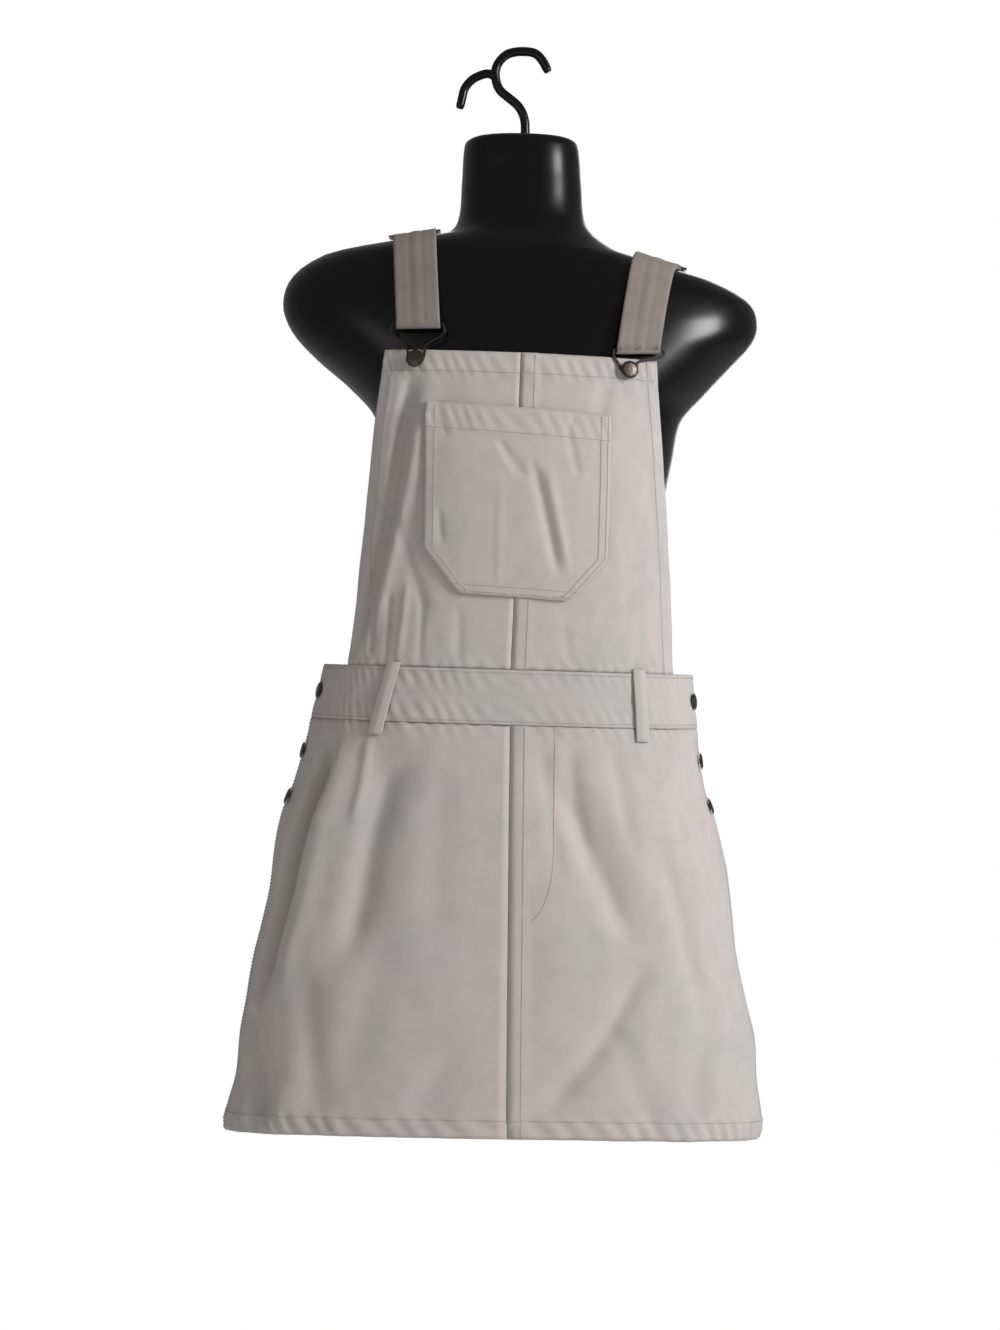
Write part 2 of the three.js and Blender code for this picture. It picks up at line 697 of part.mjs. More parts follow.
function buckle(route, button) {
  const end = strapFrame(route, STRAP_END_AT, STRAP_CLOTH + TURN_RADIUS);
  const side = end.across.clone();
  const down = button.hold.clone().sub(end.point);
  down.addScaledVector(side, -down.dot(side));
  const drop = down.length();
  down.normalize();
  const shift = button.hold.clone().sub(end.point).dot(side);
  const facing = side.clone().cross(down).normalize();
  const outline = [
    [-BUCKLE_HALF, 0],
    [-BUCKLE_HALF / 2, 0],
    [0, 0],
    [BUCKLE_HALF / 2, 0],
    [BUCKLE_HALF, 0],
    [BUCKLE_HALF + 0.5, drop * 0.3],
    [shift + 9, drop * 0.62],
    [shift + 6, drop],
    [shift, drop + 6],
    [shift - 6, drop],
    [shift - 9, drop * 0.62],
    [-BUCKLE_HALF - 0.5, drop * 0.3],
  ];
  const points = outline.map(([w, h]) =>
    end.point.clone().addScaledVector(side, w).addScaledVector(down, h),
  );
  return wireLoop(points, facing, BUCKLE_WIRE, 40, 5);
}

function buttonOn(point, normal, radius, neck) {
  const upright = Math.abs(normal.z) > 0.9 ? BACKWARD : DOWN;
  const first = upright.clone().addScaledVector(normal, -upright.dot(normal));
  const rings = BUTTON.map((row, i) => {
    const rise = row.rise + (i > 0 ? neck : 0) + SEAM_GAP;
    const centre = point.clone().addScaledVector(normal, rise);
    return circle(centre, normal.clone().negate(), first, row.radius * radius, BUTTON_SIDES);
  });
  return loft(rings.reverse());
}

// Buttons on the bib hold the buckles. offset: distance from the centre seam.
const BIB_BUTTONS = table(
  ["name", "offset", "at"],
  [
    ["left", -90, -294],
    ["right", 93, -296],
  ],
);
for (const button of BIB_BUTTONS) {
  const turn = turnAt(button.at, button.offset);
  const point = dressPoint(button.at, turn);
  const normal = ringNormal(DRESS, button.at, turn);
  const route = STRAP_ROUTES[button.name];
  const hold = point.clone().addScaledVector(normal, SEAM_GAP + BIB_BUTTON_NECK * 0.6);
  add(hardware, `bib_button_${button.name}`, "metal", buttonOn(point, normal, BIB_BUTTON_RADIUS, BIB_BUTTON_NECK));
  add(dress, `strap_${button.name}`, "strap", strap(route));
  add(hardware, `adjuster_${button.name}`, "metal", adjuster(route));
  add(hardware, `buckle_${button.name}`, "metal", buckle(route, { hold }));
}

// Buttons of the side openings. out: how far the cloth under them stands out.
const SIDE_BUTTONS = table(
  ["name", "at", "turn", "out"],
  [
    ["waist", -583, 77, BAND_OUT],
    ["side_upper", -636, 82, 0.2],
    ["side_lower", -676, 83, 0.4],
  ],
);
for (const [name, side] of [["left", -1], ["right", 1]]) {
  for (const button of SIDE_BUTTONS) {
    const turn = side * button.turn;
    const normal = ringNormal(DRESS, button.at, turn);
    const point = dressPoint(button.at, turn, button.out);
    const body = buttonOn(point, normal, SIDE_BUTTON_RADIUS, 0);
    add(hardware, `button_${button.name}_${name}`, "metal", body);
  }
}

const overall = new THREE.Group();
overall.add(form, dress, hardware);

export default overall;
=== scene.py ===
"""Looks of the pale denim overall dress on its black torso form. Metres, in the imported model's frame."""
import math

import bpy
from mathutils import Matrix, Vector, noise


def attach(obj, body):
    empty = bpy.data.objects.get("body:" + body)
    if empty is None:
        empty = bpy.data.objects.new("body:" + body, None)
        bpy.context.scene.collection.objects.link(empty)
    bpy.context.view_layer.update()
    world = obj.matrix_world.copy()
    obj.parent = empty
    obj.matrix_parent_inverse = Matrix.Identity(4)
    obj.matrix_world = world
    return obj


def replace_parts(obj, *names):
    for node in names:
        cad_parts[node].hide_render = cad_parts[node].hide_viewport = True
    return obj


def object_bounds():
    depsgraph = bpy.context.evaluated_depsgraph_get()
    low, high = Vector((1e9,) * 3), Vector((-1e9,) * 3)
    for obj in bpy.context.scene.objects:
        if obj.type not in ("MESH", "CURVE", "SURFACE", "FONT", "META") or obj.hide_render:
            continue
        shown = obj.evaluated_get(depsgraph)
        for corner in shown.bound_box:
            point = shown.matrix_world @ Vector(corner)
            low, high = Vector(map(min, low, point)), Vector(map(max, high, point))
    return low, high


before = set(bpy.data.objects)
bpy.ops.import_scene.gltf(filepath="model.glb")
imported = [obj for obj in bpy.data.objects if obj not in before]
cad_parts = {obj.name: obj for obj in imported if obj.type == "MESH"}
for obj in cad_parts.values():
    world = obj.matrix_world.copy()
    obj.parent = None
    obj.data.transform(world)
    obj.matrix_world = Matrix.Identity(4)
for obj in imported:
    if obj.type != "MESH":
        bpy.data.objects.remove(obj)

cad_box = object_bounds()

# ---- Sizes, in millimetres as in the model's source; MM turns them into metres ----
MM = 0.001
SQUARENESS = 2.45
CLOTH_SKIN = 1.2
BAND_OUT = 1.2
BAND_SKIN = 2.6
POCKET_OUT = 2.5
POCKET_SKIN = 1.3
BIB_TOP = -285
BAND_TOP = -559
BAND_BOTTOM = -607
HEM = -966
SEAM_GAP = 0.3
SIDE_TURN = 90
ARC = 3.2
FOLD_FADE = 0.22
STITCH = 3.2
STITCH_RADIUS = 0.42
STITCH_SHARE = 0.68
STITCH_SIDES = 5
THREAD_OUT = 0.15
STEP = 4.0
HEM_DEPTH = 18
BIB_HEM = 20
POCKET_HEM = -358
BAND_MIDDLE = -583


def table(names, rows):
    return [dict(zip(names, row)) for row in rows]


# Rings of the dress: at is the height at the centre front; rear is how much lower the back hangs.
DRESS = table(
    ("at", "left", "right", "middle", "front", "back", "drop", "rear"),
    (
        (-280, -180, 171, -4.5, 106, 95, 0.042, 0),
        (-348, -173, 159, -7, 117, 95, 0.04, 0),
        (-400, -168, 153, -8, 118, 94, 0.038, 0),
        (-450, -168, 150, -9.3, 112, 92, 0.036, 0),
        (-507, -173, 151, -11, 103, 90, 0.034, 0),
        (-559, -181, 151, -13.3, 97, 89, 0.03, 0),
        (-607, -193, 155, -14, 97, 91, 0.03, 0),
        (-661, -208, 162, -14.6, 102, 97, 0.026, 4),
        (-691, -220, 172, -15, 104, 101, 0.024, 6.5),
        (-724, -227, 180, -15.3, 105, 104, 0.022, 9),
        (-758, -232, 186, -15.6, 106, 106, 0.02, 12),
        (-810, -245, 192, -16.2, 107, 108, 0.018, 16),
        (-851, -253, 201, -16.6, 106, 108, 0.017, 19),
        (-881, -258, 208, -16.9, 105, 107, 0.017, 21),
        (-917, -261, 210, -17.2, 104, 106, 0.017, 24),
        (-950, -270, 214, -17.5, 103, 105, 0.017, 27),
        (-966, -271, 211, -17.6, 102, 104, 0.017, 28),
    ),
)
# Rings of the torso form.
FORM = table(
    ("at", "left", "right", "middle", "front", "back", "drop", "rear"),
    (
        (-78, -44, 38, -3, 34, 34, 0.02, 0),
        (-80, -51, 45, -3, 42, 42, 0.02, 0),
        (-84, -55, 49, -3, 46, 46, 0.02, 0),
        (-118, -57.5, 52, -3, 49, 49, 0.03, 0),
        (-153, -61, 56, -3, 54, 53, 0.03, 0),
        (-168, -72, 69, -3, 60, 58, 0.045, 0),
        (-177, -98, 92, -3, 66, 62, 0.08, 0),
        (-183, -125, 118, -4, 70, 65, 0.08, 0),
        (-190, -155, 148, -4, 73, 68, 0.08, 0),
        (-198, -184, 178, -5, 76, 70, 0.075, 0),
        (-215, -211, 204, -5, 80, 74, 0.06, 0),
        (-237, -220, 211, -5, 86, 78, 0.045, 0),
        (-258, -212, 206, -5, 91, 80, 0.03, 0),
        (-280, -190, 188, -5, 96, 82, 0.02, 0),
        (-305, -160, 165, -5, 101, 84, 0.018, 0),
        (-331, -137, 143, -5, 105, 84, 0.016, 0),
        (-370, -131, 134, -5, 108, 84, 0.015, 0),
        (-403, -129, 127, -6, 107, 83, 0.015, 0),
        (-460, -128, 118, -8, 97, 77, 0.015, 0),
        (-520, -130, 110, -10, 84, 70, 0.015, 0),
        (-575, -136, 108, -13, 78, 66, 0.015, 0),
        (-640, -155, 122, -15, 82, 78, 0.015, 0),
        (-700, -170, 136, -16, 88, 88, 0.015, 0),
        (-750, -176, 141, -17, 90, 94, 0.015, 0),
        (-788, -174, 139, -17, 86, 91, 0.015, 0),
        (-797, -166, 131, -17, 78, 83, 0.015, 0),
        (-800, -150, 115, -17, 66, 71, 0.015, 0),
    ),
)
# Routes of the straps, from the back waistband to the buckle: at counts along the strap. level is the
# height that a ray leaves from, angle its lean from straight up (90 is backwards), off the gap to the form.
STRAP_ROUTES = {
    "left": table(
        ("at", "x", "level", "angle", "off"),
        (
            (0, 37, -558.4, 90, 20),
            (1, 18, -515, 90, 14),
            (2, -2, -460, 90, 8),
            (3, -34, -385, 90, 3),
            (4, -66, -310, 90, 1),
            (5, -86, -255, 86, 1.3),
            (6, -95, -255, 55, 1.2),
            (7, -99, -255, 25, 1.2),
            (8, -99.5, -255, 0, 1.2),
            (9, -99, -255, -25, 1.2),
            (10, -97, -255, -55, 1.8),
            (11, -94, -255, -92, 5),
        ),
    ),
    "right": table(
        ("at", "x", "level", "angle", "off"),
        (
            (0, -63, -556.4, 90, 21.5),
            (1, -38, -515, 90, 18),
            (2, -6, -460, 90, 12),
            (3, 38, -385, 90, 6.5),
            (4, 82, -310, 90, 1.5),
            (5, 110, -262, 86, 1.3),
            (6, 121, -262, 55, 1.2),
            (7, 124, -262, 25, 1.2),
            (8, 124, -262, 0, 1.2),
            (9, 120, -262, -25, 1.2),
            (10, 110, -262, -55, 1.8),
            (11, 97.5, -262, -101, 5),
        ),
    ),
}
# Middle lines of the hook's two rods, as x and z.
HOOK_MAIN = (
    (0, -95),
    (0, -76),
    (0.5, -59),
    (-4.6, -46.5),
    (-14.6, -38.3),
    (-24, -31),
    (-27.3, -19.5),
    (-26.4, -9),
    (-19, 0.4),
    (-10.5, 3.6),
    (0, 4.2),
    (10, 2.7),
    (16.4, -4.6),
    (21.5, -15),
)
HOOK_BRANCH = (
    (-25.5, -20),
    (-33, -15.5),
    (-41, -17.6),
    (-49.2, -21.9),
    (-55.6, -30),
    (-57.4, -39.5),
    (-59.6, -48),
)
BIB = table(
    ("at", "half"),
    ((-285, 118), (-348, 125), (-395, 129), (-446, 134), (-507, 139), (-559, 144)),
)
POCKET = table(("at", "half"), ((-334, 79), (-458, 79), (-490, 53), (-496, 45)))
POCKET_TOP = -334
POCKET_FOOT = -496
POCKET_SKEW = 0.04

# Folds of the model's own solids, and the finer ones that only the cloth has. Each runs from start at
# top to end at bottom; start and end are turns in degrees, width and lift are in mm.
FOLD_COLUMNS = ("top", "start", "bottom", "end", "width", "lift")
MAIN_FOLDS = table(
    FOLD_COLUMNS,
    (
        (-290, -26, -556, -54, 9, -6),
        (-300, -21, -556, -47, 9, 3),
        (-610, -54, -866, -70, 15, -13),
        (-612, -46, -860, -56, 16, 5),
        (-612, -27, -830, -33, 22, -6),
        (-850, -75, -962, -54, 16, -9),
        (-630, 8, -812, 31, 20, -5),
        (-800, 33, -955, 2, 15, -4),
        (-612, 62, -900, 70, 20, -5),
        (-612, 112, -880, 128, 18, -7),
        (-615, 150, -950, 158, 22, -6),
        (-612, -118, -900, -130, 18, -8),
        (-620, -152, -940, -146, 24, -6),
    ),
)
FINE_FOLDS = table(
    FOLD_COLUMNS,
    (
        (-612, -56, -860, -72, 9, -8),
        (-612, -49, -820, -60, 8, 3),
        (-292, -28, -556, -56, 5, -3.5),
        (-640, -29, -820, -34, 12, -4),
        (-650, 9, -800, 27, 10, -3.4),
        (-815, 30, -950, 4, 7, -3),
        (-470, -46, -557, -44, 4, -2.2),
        (-488, -38, -557, -37, 4, -1.8),
        (-480, -31, -557, -32, 4, 1.6),
        (-495, -25, -557, -24, 3.5, -1.6),
        (-500, -13, -557, -12, 4, -1.3),
        (-420, -38, -520, -22, 7, -1.8),
        (-520, 12, -557, 14, 5, -0.9),
        (-300, 22, -380, 18, 8, -1.2),
        (-615, -38, -700, -37, 6, 2.5),
        (-615, 13, -760, 17, 7, -1.8),
        (-615, 6, -740, 9, 5, -1.5),
        (-620, 27, -720, 30, 10, -1.8),
        (-640, -14, -800, -12, 12, -1.6),
        (-700, 40, -900, 52, 14, -2.6),
        (-760, -22, -930, -30, 14, -2.2),
        (-820, -45, -955, -38, 12, -3),
        (-860, 20, -960, 30, 12, -1.8),
        (-850, 48, -962, 40, 12, -2.2),
        (-880, -8, -955, -14, 10, -1.4),
        (-660, -80, -900, -84, 14, -4),
        (-700, 84, -940, 80, 14, -3),
        (-620, 128, -760, 132, 9, -2.5),
        (-620, 165, -800, 163, 12, -2),
        (-640, -168, -860, -165, 12, -2.4),
        (-800, 140, -955, 132, 12, -3),
        (-780, -110, -955, -100, 12, -3),
    ),
)
POCKET_FOLDS = table(
    FOLD_COLUMNS,
    (
        (-372, 2, -480, 10, 4, -2.6),
        (-380, 5.5, -478, 13, 4, 1.7),
        (-360, -3.5, -396, 1.5, 3, -1.9),
        (-420, -20, -456, -19, 4, -1.3),
        (-352, 11, -392, 14.5, 4, -1.4),
        (-338, -20, -362, -17, 3, -1.3),
        (-340, 12, -356, 11, 3, -1.2),
        (-388, -3, -494, -3, 2.5, 0.7),
    ),
)


# ---- Surfaces: the model's own formulas ----
def column(rows, name, at):
    last = len(rows) - 1
    way = math.copysign(1, rows[last]["at"] - rows[0]["at"])
    if (at - rows[0]["at"]) * way <= 0:
        return rows[0][name]
    if (at - rows[last]["at"]) * way >= 0:
        return rows[last][name]
    i = next(k for k, row in enumerate(rows) if (row["at"] - at) * way > 0) - 1

    def slope(a, b):
        return (rows[b][name] - rows[a][name]) / (rows[b]["at"] - rows[a]["at"])

    step = rows[i + 1]["at"] - rows[i]["at"]
    u = (at - rows[i]["at"]) / step
    leave = slope(max(i - 1, 0), i + 1) * step
    arrive = slope(i, min(i + 2, last)) * step
    change = rows[i + 1][name] - rows[i][name]
    bend = u * (1 - u) * ((leave - change) * (1 - u) - (arrive - change) * u)
    return rows[i][name] + change * u + bend


def edge(rows, name, at):
    i = next((k for k, row in enumerate(rows) if row["at"] <= at + 1e-6), len(rows) - 1)
    i = max(1, i)
    u = (at - rows[i - 1]["at"]) / (rows[i]["at"] - rows[i - 1]["at"])
    return rows[i - 1][name] + (rows[i][name] - rows[i - 1][name]) * u


def ring_point(at, turn, rows=DRESS):
    angle = math.radians(turn)
    across, along = math.sin(angle), math.cos(angle)
    middle = column(rows, "middle", at)
    side = middle - column(rows, "left", at) if across < 0 else column(rows, "right", at) - middle
    depth = column(rows, "back", at) if along < 0 else -column(rows, "front", at)
    power = 2 / SQUARENESS
    x = side * math.copysign(abs(across) ** power, across)
    fall = column(rows, "drop", at) * x + column(rows, "rear", at) * (1 - along) / 2
    return Vector((middle + x, depth * abs(along) ** power, at - fall))


def ring_normal(at, turn):
    around = ring_point(at, turn + 0.5) - ring_point(at, turn - 0.5)
    up = ring_point(at + 1, turn) - ring_point(at - 1, turn)
    return around.cross(up).normalized()


def sideways(at, turn):
    """How far a point of the dress is to the right of its middle line."""
    return ring_point(at, turn).x - column(DRESS, "middle", at)


def turn_at(at, offset):
    middle = column(DRESS, "middle", at)
    side = middle - column(DRESS, "left", at) if offset < 0 else column(DRESS, "right", at) - middle
    share = min(abs(offset) / side, 1) ** (SQUARENESS / 2)
    return math.copysign(math.degrees(math.asin(share)), offset)


def smooth(x):
    x = min(max(x, 0), 1)
    return x * x * (3 - 2 * x)


def fold_lift(folds, at, turn):
    lift = 0
    for fold in folds:
        u = (fold["top"] - at) / (fold["top"] - fold["bottom"])
        if not 0 < u < 1:
            continue
        line = fold["start"] + (fold["end"] - fold["start"]) * u
        away = (turn - line) * ARC / fold["width"]
        lift += fold["lift"] * smooth(min(u, 1 - u) / FOLD_FADE) * math.exp(-away * away)
    return lift


def rumple(at, turn, size=34, high=0.9):
    """Soft unevenness of washed cloth, in mm."""
    place = Vector((turn * ARC / size, at / (size * 1.5), 3.1))
    return high * (noise.noise(place) + 0.5 * noise.noise(place * 2.3))


def roping(at, line, turn, reach, high=0.55, pitch=11.5):
    """Slanting puckers of a turned and stitched edge, uneven along it."""
    near = math.exp(-(((at - line) / reach) ** 2))
    phase = turn * ARC / pitch + (at - line) / 22 + 0.6 * noise.noise(Vector((turn * ARC / 40, 0, 8)))
    return high * near * math.sin(2 * math.pi * phase)


def dress_point(at, turn, out=0, folds=FINE_FOLDS):
    lift = out + fold_lift(MAIN_FOLDS, at, turn) + fold_lift(folds, at, turn)
    return (ring_point(at, turn) + ring_normal(at, turn) * lift) * MM


# ---- Meshes ----
def piece(name, vertices, faces, look):
    mesh = bpy.data.meshes.new(name)
    mesh.from_pydata([tuple(v) for v in vertices], [], faces)
    mesh.update()
    mesh.shade_smooth()
    thing = bpy.data.objects.new(name, mesh)
    bpy.context.scene.collection.objects.link(thing)
    thing.data.materials.append(look)
    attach(thing, "root")
    return thing


def wall(name, outer, inner, look):
    """A closed wall between two grids, rows down and columns to the viewer's right, as a cloth piece."""
    rows, columns = len(outer) - 1, len(outer[0]) - 1
    vertices = [p for row in outer for p in row] + [p for row in inner for p in row]
    shift = (rows + 1) * (columns + 1)

    def face(i, j):
        return i * (columns + 1) + j

    def back(i, j):
        return face(i, j) + shift

    faces = []
    for i in range(rows):
        for j in range(columns):
            faces.append((face(i, j), face(i + 1, j), face(i + 1, j + 1), face(i, j + 1)))
            faces.append((back(i, j), back(i, j + 1), back(i + 1, j + 1), back(i + 1, j)))
        faces.append((face(i, 0), back(i, 0), back(i + 1, 0), face(i + 1, 0)))
        faces.append((face(i, columns), face(i + 1, columns), back(i + 1, columns), back(i, columns)))
    for j in range(columns):
        faces.append((face(0, j), face(0, j + 1), back(0, j + 1), back(0, j)))
        faces.append((face(rows, j), back(rows, j), back(rows, j + 1), face(rows, j + 1)))
    thing = piece(name + "_cloth", vertices, faces, look)
    return thing


def heights(stops, step):
    levels = [stops[0]]
    for above, below in zip(stops, stops[1:]):
        count = max(1, round((above - below) / step))
        levels += [above + (below - above) * i / count for i in range(1, count + 1)]
    return levels


def panel(name, stops, left, right, columns, relief, out=0, skin=CLOTH_SKIN, skew=0, step=STEP, folds=None):
    """A cloth panel. relief(at, turn) is its own unevenness, outwards, in mm."""
    own = FINE_FOLDS if folds is None else folds
    outer, inner = [], []
    for at in heights(stops, step):
        turns = [left(at) + (right(at) - left(at)) * j / columns for j in range(columns + 1)]
        front, back = [], []
        for turn in turns:
            height = at - skew * ring_point(at, turn).x
            lift = out + relief(at, turn)
            front.append(dress_point(height, turn, lift, own))
            back.append(dress_point(height, turn, lift - skin, own))
        outer.append(front)
        inner.append(back)
    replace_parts(wall(name, outer, inner, DENIM), name)


def thread(name, path):
    """A row of separate stitches along points that lie on the cloth, as one joined mesh."""
    vertices, faces = [], []
    length = 0
    for a, b in zip(path, path[1:]):
        span = (b - a).length
        while length < span:
            start = a + (b - a) * (length / span)
            end = start + (b - a).normalized() * STITCH * STITCH_SHARE * MM
            add_stitch(vertices, faces, start, end, STITCH_RADIUS * MM)
            length += STITCH * MM
        length -= span
    piece(name, vertices, faces, THREAD)


def add_stitch(vertices, faces, start, end, radius):
    along = (end - start).normalized()
    side = along.cross(Vector((0, -1, 0.01))).normalized()
    rise = side.cross(along).normalized()
    base = len(vertices)
    for share, scale in ((0, 0.35), (0.3, 1), (0.7, 1), (1, 0.35)):
        centre = start + (end - start) * share
        for k in range(STITCH_SIDES):
            angle = 2 * math.pi * k / STITCH_SIDES
            vertices.append(centre + (side * math.cos(angle) + rise * math.sin(angle)) * radius * scale)
    for ring in range(3):
        for k in range(STITCH_SIDES):
            a = base + ring * STITCH_SIDES + k
            b = base + ring * STITCH_SIDES + (k + 1) % STITCH_SIDES
            faces.append((a, b, b + STITCH_SIDES, a + STITCH_SIDES))
    faces.append(tuple(base + k for k in reversed(range(STITCH_SIDES))))
    faces.append(tuple(base + 3 * STITCH_SIDES + k for k in range(STITCH_SIDES)))


# ---- Materials ----
def material(name):
    made = bpy.data.materials.new(name)
    made.use_nodes = True
    return made, made.node_tree.nodes, made.node_tree.links


def linear(rgb):
    return tuple(((c / 255 + 0.055) / 1.055) ** 2.4 for c in rgb) + (1,)


def cloth_material(name, main, pink, blue, dark, thread_scale, roughness=0.92):
    """Twill in two tones under washed, uneven patches, with a fine diagonal bump."""
    made, nodes, links = material(name)
    shader = nodes["Principled BSDF"]
    shader.inputs["Roughness"].default_value = roughness
    shader.inputs["Sheen Weight"].default_value = 0.12
    shader.inputs["Sheen Roughness"].default_value = 0.5
    where = nodes.new("ShaderNodeTexCoord")

    def patches(scale, detail, low, high):
        cloud = nodes.new("ShaderNodeTexNoise")
        cloud.inputs["Scale"].default_value = scale
        cloud.inputs["Detail"].default_value = detail
        links.new(where.outputs["Object"], cloud.inputs["Vector"])
        ramp = nodes.new("ShaderNodeMapRange")
        ramp.inputs["From Min"].default_value = low
        ramp.inputs["From Max"].default_value = high
        links.new(cloud.outputs["Fac"], ramp.inputs["Value"])
        return ramp.outputs["Result"]

    def blend(amount, first, second, most):
        part = nodes.new("ShaderNodeMath")
        part.operation = "MULTIPLY"
        part.inputs[1].default_value = most
        links.new(amount, part.inputs[0])
        mix = nodes.new("ShaderNodeMix")
        mix.data_type = "RGBA"
        links.new(part.outputs[0], mix.inputs["Factor"])
        for value, socket in ((first, mix.inputs[6]), (second, mix.inputs[7])):
            if isinstance(value, tuple):
                socket.default_value = value
            else:
                links.new(value, socket)
        return mix.outputs[2]

    turned = nodes.new("ShaderNodeMapping")
    turned.inputs["Rotation"].default_value = (0, math.radians(28), 0)
    turned.inputs["Scale"].default_value = (1, 0.25, 1)
    links.new(where.outputs["Object"], turned.inputs["Vector"])
    twill = nodes.new("ShaderNodeTexWave")
    twill.bands_direction = "X"
    twill.inputs["Scale"].default_value = thread_scale
    twill.inputs["Distortion"].default_value = 1.6
    twill.inputs["Detail"].default_value = 1.5
    links.new(turned.outputs["Vector"], twill.inputs["Vector"])

    colour = blend(patches(9, 3, 0.42, 0.62), linear(main), linear(pink), 0.55)
    colour = blend(patches(15, 4, 0.5, 0.7), colour, linear(blue), 0.35)
    colour = blend(patches(60, 3, 0.45, 0.8), colour, linear(dark), 0.14)
    colour = blend(twill.outputs["Fac"], colour, linear(dark), 0.16)
    links.new(colour, shader.inputs["Base Color"])
    bump = nodes.new("ShaderNodeBump")
    bump.inputs["Strength"].default_value = 0.35
    bump.inputs["Distance"].default_value = 0.0004
    links.new(twill.outputs["Fac"], bump.inputs["Height"])
    links.new(bump.outputs["Normal"], shader.inputs["Normal"])
    return made


def hard_material(name, rgb, roughness, metallic, coat, grain):
    """Metal or moulded plastic, with faint handling marks in its gloss."""
    made, nodes, links = material(name)
    shader = nodes["Principled BSDF"]
    shader.inputs["Metallic"].default_value = metallic
    shader.inputs["Coat Weight"].default_value = coat
    shader.inputs["Coat Roughness"].default_value = 0.12
    where = nodes.new("ShaderNodeTexCoord")
    marks = nodes.new("ShaderNodeTexNoise")
    marks.inputs["Scale"].default_value = grain
    marks.inputs["Detail"].default_value = 4
    links.new(where.outputs["Object"], marks.inputs["Vector"])
    ramp = nodes.new("ShaderNodeMapRange")
    ramp.inputs["To Min"].default_value = roughness * 0.8
    ramp.inputs["To Max"].default_value = roughness * 1.3
    links.new(marks.outputs["Fac"], ramp.inputs["Value"])
    links.new(ramp.outputs["Result"], shader.inputs["Roughness"])
    mix = nodes.new("ShaderNodeMix")
    mix.data_type = "RGBA"
    mix.inputs[6].default_value = linear(rgb)
    mix.inputs[7].default_value = linear([c * 0.72 for c in rgb])
    links.new(marks.outputs["Fac"], mix.inputs["Factor"])
    links.new(mix.outputs[2], shader.inputs["Base Color"])
    return made


DENIM = cloth_material("denim", (193, 187, 181), (198, 184, 182), (172, 178, 180), (140, 132, 126), 420)
STRAP = cloth_material("strap_twill", (138, 129, 119), (150, 141, 131), (122, 118, 112), (88, 80, 73), 420)
THREAD = cloth_material("thread", (168, 166, 162), (176, 172, 168), (158, 160, 160), (130, 126, 120), 900)
FORM_PLASTIC = hard_material("form_plastic", (3, 3, 4), 0.24, 0, 0, 30)
PLASTIC_SPECULAR = 0.3
plastic_shader = FORM_PLASTIC.node_tree.nodes["Principled BSDF"]
plastic_shader.inputs["Specular IOR Level"].default_value = PLASTIC_SPECULAR
METAL = hard_material("dark_nickel", (96, 90, 84), 0.28, 1, 0, 220)


# ---- Bib ----
SPLIT = 0.15


def seam_turn(side):
    return lambda at: turn_at(at, side * SPLIT)


def bib_turn(side):
    return lambda at: turn_at(at, side * column(BIB, "half", at))


def lap(at, turn):
    """The felled centre seam: a raised strip just to the right of the seam, with puckers."""
    offset = sideways(at, turn)
    strip = smooth((offset + 1) / 1.5) * smooth((15.5 - offset) / 1.5)
    return 0.8 * strip + 0.22 * strip * math.sin(at / 3.1)


def bib_relief(at, turn):
    hem = 0.9 * smooth((at - (BIB_TOP - BIB_HEM)) / 1.5)
    rope = roping(at, BIB_TOP - 12, turn, 9, 0.6)
    half = column(BIB, "half", at)
    offset = sideways(at, turn)
    side_hem = 0.5 * smooth((abs(offset) - half + 11) / 1.5)
    waist = roping(at, BAND_TOP, turn, 9, 0.5, 14)
    return rumple(at, turn) + hem + rope + side_hem + waist + lap(at, turn)


BIB_STOPS = (BIB_TOP, BAND_TOP + SEAM_GAP)
panel("bib_left", BIB_STOPS, bib_turn(-1), seam_turn(-1), 60, bib_relief, step=3)
panel("bib_right", BIB_STOPS, seam_turn(1), bib_turn(1), 60, bib_relief, step=3)


def pocket_turn(side):
    return lambda at: turn_at(at, side * edge(POCKET, "half", at))


def pocket_relief(at, turn):
    hem = 0.8 * smooth((at - POCKET_HEM) / 1.5)
    offset = sideways(at, turn)
    seam = 0.35 * smooth((abs(offset) - edge(POCKET, "half", at) + 9) / 1.5)
    return 0.5 * rumple(at, turn, 26) + hem + seam + roping(at, POCKET_HEM + 12, turn, 9, 0.45) + 0.6


panel(
    "bib_pocket", [row["at"] for row in POCKET], pocket_turn(-1), pocket_turn(1), 80, pocket_relief,
    out=POCKET_OUT, skin=POCKET_SKIN, skew=POCKET_SKEW, step=2.5, folds=POCKET_FOLDS,
)


# ---- Waistband and skirt ----
def band_relief(at, turn):
    left = 0.45 + 0.55 * smooth((10 - turn) / 30) if abs(turn) < 90 else 0.6
    puckers = roping(at, BAND_TOP - 9, turn, 8, 0.75, 13) + roping(at, BAND_BOTTOM + 9, turn, 8, 0.8, 14)
    middle = -0.5 * math.exp(-(((at - BAND_MIDDLE) / 2.2) ** 2))
    return puckers * left + middle * 0.6 + 0.4 * rumple(at, turn, 22)


BAND_STOPS = (BAND_TOP, BAND_BOTTOM)
SIDE_GAP = 0.12
FRONT_SIDE = SIDE_TURN - SIDE_GAP
BACK_SIDE = SIDE_TURN + SIDE_GAP
panel(
    "waistband_front", BAND_STOPS, lambda at: -FRONT_SIDE, lambda at: FRONT_SIDE, 190, band_relief,
    out=BAND_OUT, skin=BAND_SKIN, step=2.4,
)
panel(
    "waistband_back", BAND_STOPS, lambda at: BACK_SIDE, lambda at: 360 - BACK_SIDE, 190, band_relief,
    out=BAND_OUT, skin=BAND_SKIN, step=2.4,
)


